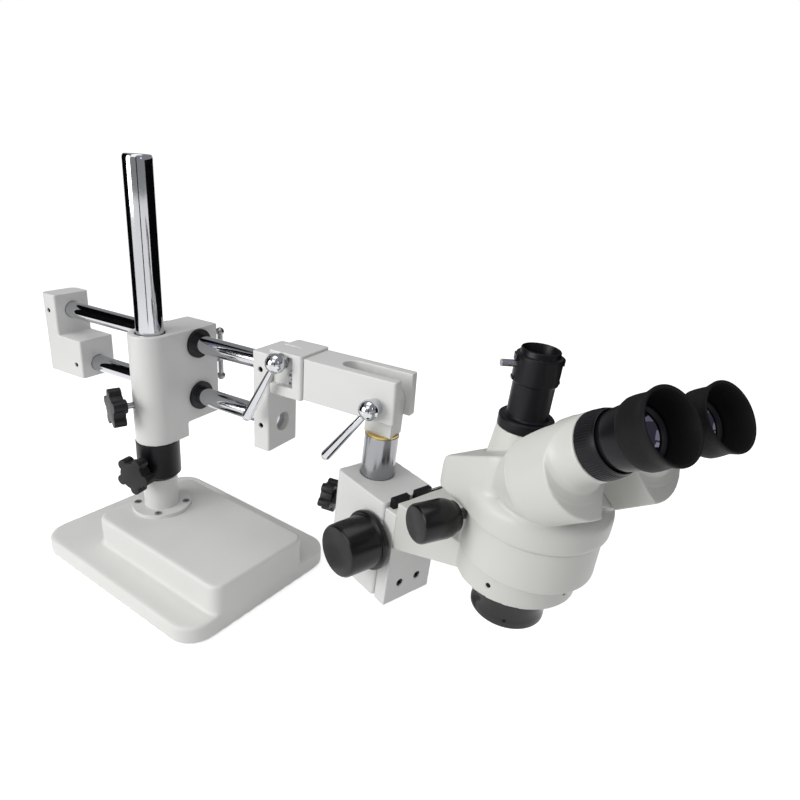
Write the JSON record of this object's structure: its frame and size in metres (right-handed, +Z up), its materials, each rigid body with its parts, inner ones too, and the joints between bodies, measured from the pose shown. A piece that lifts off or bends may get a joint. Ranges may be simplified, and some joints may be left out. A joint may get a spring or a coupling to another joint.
{
  "type": "trinocular boom stand microscope",
  "caption": "Trinocular stereo zoom microscope head in a ring holder with rack focusing, carried on a double-arm boom stand with a heavy stepped base",
  "frame": {"origin": "on the bench under the middle of the upright post, where the pad under the post rests", "axes": "+X along the boom arms towards the microscope, +Y from the post towards the arms, +Z up along the post"},
  "size_m": [0.7025, 0.2148, 0.395],
  "materials": {
    "white_paint": "satin powder coat",
    "cast_base": "white enamel over casting",
    "polished_chrome": "mirror plated",
    "black_plastic": "moulded, matt",
    "black_anodised": "black anodised",
    "bright_steel": "machined",
    "washer_brass": "turned",
    "soft_rubber": "moulded rubber",
    "coated_glass": "coated optical glass",
    "white_light_alloy": "white powder coat"
  },
  "bodies": {
    "base": {"base_casting": "cast_base", "rubber_feet": "soft_rubber", "post_socket": "white_paint", "socket_screws": "bright_steel", "post": "polished_chrome"},
    "collar": {"safety_collar": "black_anodised"},
    "collar_clamp": {"collar_knob": "black_plastic", "collar_stud": "bright_steel"},
    "carriage_head": {"carriage": "white_light_alloy", "post_bushes": "black_plastic", "arm_bushes": "black_plastic"},
    "carriage_clamp": {"carriage_knob": "black_plastic", "carriage_stud": "bright_steel"},
    "arm_clamp": {"arm_clamp_screw": "bright_steel", "arm_clamp_bar": "bright_steel"},
    "arms": {"upper_arm": "polished_chrome", "lower_arm": "polished_chrome", "left_end_block": "white_light_alloy", "right_end_block": "white_light_alloy", "arm_set_screws": "bright_steel"},
    "fork": {"swivel_bracket": "white_light_alloy", "bracket_screws": "bright_steel", "fork_beam": "white_light_alloy"},
    "bracket_clamp": {"bracket_lever": "polished_chrome"},
    "tilt_clamp": {"tilt_lever": "polished_chrome"},
    "shaft": {"shaft_tongue": "white_light_alloy", "shaft_washer": "washer_brass", "focus_shaft": "polished_chrome"},
    "focus": {"focus_block": "white_light_alloy", "dovetail_guide": "black_anodised"},
    "focus_clamp": {"focus_clamp_knob": "black_plastic", "focus_clamp_stud": "bright_steel"},
    "focus_pinion": {"pinion_shaft": "bright_steel", "focus_knob_left": "black_plastic", "focus_knob_right": "black_plastic"},
    "slide": {"slide_plate": "white_light_alloy", "rack": "bright_steel", "slide_screws": "bright_steel", "ring_holder": "white_light_alloy", "ring_screws": "bright_steel"},
    "head": {"lower_housing": "white_light_alloy", "main_body": "white_light_alloy", "photo_turret": "white_light_alloy", "objective_ring": "black_anodised", "objective_glass": "coated_glass", "photo_tube": "black_anodised"},
    "photo_lock": {"photo_lock_pin": "bright_steel"},
    "zoom": {"zoom_shaft": "bright_steel", "zoom_knob_left": "black_plastic", "zoom_knob_right": "black_plastic"},
    "prism_left": {"prism_housing_left": "white_light_alloy"},
    "dioptre_left": {"dioptre_ring_left": "black_anodised"},
    "ocular_left": {"eyepiece_left": "black_anodised", "eye_lens_left": "coated_glass", "eyecup_left": "soft_rubber"},
    "prism_right": {"prism_housing_right": "white_light_alloy"},
    "dioptre_right": {"dioptre_ring_right": "black_anodised"},
    "ocular_right": {"eyepiece_right": "black_anodised", "eye_lens_right": "coated_glass", "eyecup_right": "soft_rubber"}
  },
  "joints": [
    {"name": "collar_lift", "type": "slide", "parent": "base", "child": "collar", "axis": [0, 0, 1], "range_m": [-0.003, 0.12]},
    {"name": "carriage_turn", "type": "hinge", "parent": "collar", "child": "carriage_head", "pos_m": [0, 0, 0.18], "axis": [0, 0, 1], "range_deg": [-170, 170]},
    {"name": "collar_knob_turn", "type": "hinge", "parent": "collar", "child": "collar_clamp", "pos_m": [0, 0, 0.1], "axis": [0.1191, -0.9929, 0], "continuous": true},
    {"name": "carriage_knob_turn", "type": "hinge", "parent": "carriage_head", "child": "carriage_clamp", "pos_m": [0, 0, 0.166], "axis": [-0.3998, -0.9166, 0], "continuous": true},
    {"name": "arm_clamp_turn", "type": "hinge", "parent": "carriage_head", "child": "arm_clamp", "pos_m": [0, 0.04, 0.194], "axis": [0, 1, 0], "continuous": true},
    {"name": "arm_slide", "type": "slide", "parent": "carriage_head", "child": "arms", "axis": [1, 0, 0], "range_m": [-0.05, 0.09]},
    {"name": "bracket_roll", "type": "hinge", "parent": "arms", "child": "fork", "pos_m": [0.137, 0.04, 0.2215], "axis": [1, 0, 0], "range_deg": [-30, 10]},
    {"name": "bracket_lever_turn", "type": "hinge", "parent": "fork", "child": "bracket_clamp", "pos_m": [0.143, 0.04, 0.235], "axis": [0, 1, 0], "range_deg": [-20, 100]},
    {"name": "tilt_lever_turn", "type": "hinge", "parent": "fork", "child": "tilt_clamp", "pos_m": [0.2385, 0.04, 0.216], "axis": [0, 1, 0], "range_deg": [-20, 90]},
    {"name": "shaft_tilt", "type": "hinge", "parent": "fork", "child": "shaft", "pos_m": [0.2385, 0.04, 0.216], "axis": [0, 1, 0], "range_deg": [-10, 20]},
    {"name": "focus_turn", "type": "hinge", "parent": "shaft", "child": "focus", "pos_m": [0.23185, 0.04, 0.1072], "axis": [0.061, 0, 0.9981], "range_deg": [-60, 60]},
    {"name": "focus_clamp_turn", "type": "hinge", "parent": "focus", "child": "focus_clamp", "pos_m": [0.23191, 0.04, 0.1082], "axis": [-0.9824, -0.1766, 0.0601], "continuous": true},
    {"name": "focus_travel", "type": "slide", "parent": "focus", "child": "slide", "axis": [0.061, 0, 0.9981], "range_m": [-0.025, 0.025]},
    {"name": "focus_drive", "type": "hinge", "parent": "focus", "child": "focus_pinion", "pos_m": [0.26467, 0.02803, 0.10519], "axis": [0.3414, 0.9397, -0.0209], "range_deg": [-165, 165]},
    {"name": "head_turn", "type": "hinge", "parent": "slide", "child": "head", "pos_m": [0.385, -0.01472, 0.14843], "axis": [0.061, 0, 0.9981], "range_deg": [-45, 45]},
    {"name": "photo_lock_turn", "type": "hinge", "parent": "head", "child": "photo_lock", "pos_m": [0.37505, -0.00388, 0.2898], "axis": [-0.7667, -0.6403, 0.0469], "continuous": true},
    {"name": "zoom_turn", "type": "hinge", "parent": "head", "child": "zoom", "pos_m": [0.36895, -0.00413, 0.18297], "axis": [0.5036, 0.8634, -0.0308], "range_deg": [-120, 120]},
    {"name": "prism_turn_left", "type": "hinge", "parent": "head", "child": "prism_left", "pos_m": [0.4033, -0.05295, 0.23657], "axis": [0.7107, -0.3937, 0.5829], "range_deg": [-5, 45]},
    {"name": "dioptre_turn_left", "type": "hinge", "parent": "prism_left", "child": "dioptre_left", "pos_m": [0.43447, -0.07496, 0.27531], "axis": [0.7107, -0.3937, 0.5829], "range_deg": [-120, 120]},
    {"name": "ocular_turn_left", "type": "hinge", "parent": "prism_left", "child": "ocular_left", "pos_m": [0.44023, -0.07815, 0.28003], "axis": [0.7107, -0.3937, 0.5829], "continuous": true},
    {"name": "prism_turn_right", "type": "hinge", "parent": "head", "child": "prism_right", "pos_m": [0.42999, -0.00719, 0.23494], "axis": [0.7107, -0.3937, 0.5829], "range_deg": [-45, 5]},
    {"name": "dioptre_turn_right", "type": "hinge", "parent": "prism_right", "child": "dioptre_right", "pos_m": [0.46569, -0.02143, 0.2734], "axis": [0.7107, -0.3937, 0.5829], "range_deg": [-120, 120]},
    {"name": "ocular_turn_right", "type": "hinge", "parent": "prism_right", "child": "ocular_right", "pos_m": [0.47145, -0.02462, 0.27812], "axis": [0.7107, -0.3937, 0.5829], "continuous": true}
  ],
  "couplings": [
    {"joint": "focus_drive", "follows": "focus_travel", "rad_per_m": -111.11},
    {"joint": "prism_turn_right", "follows": "prism_turn_left", "ratio": -1}
  ]
}
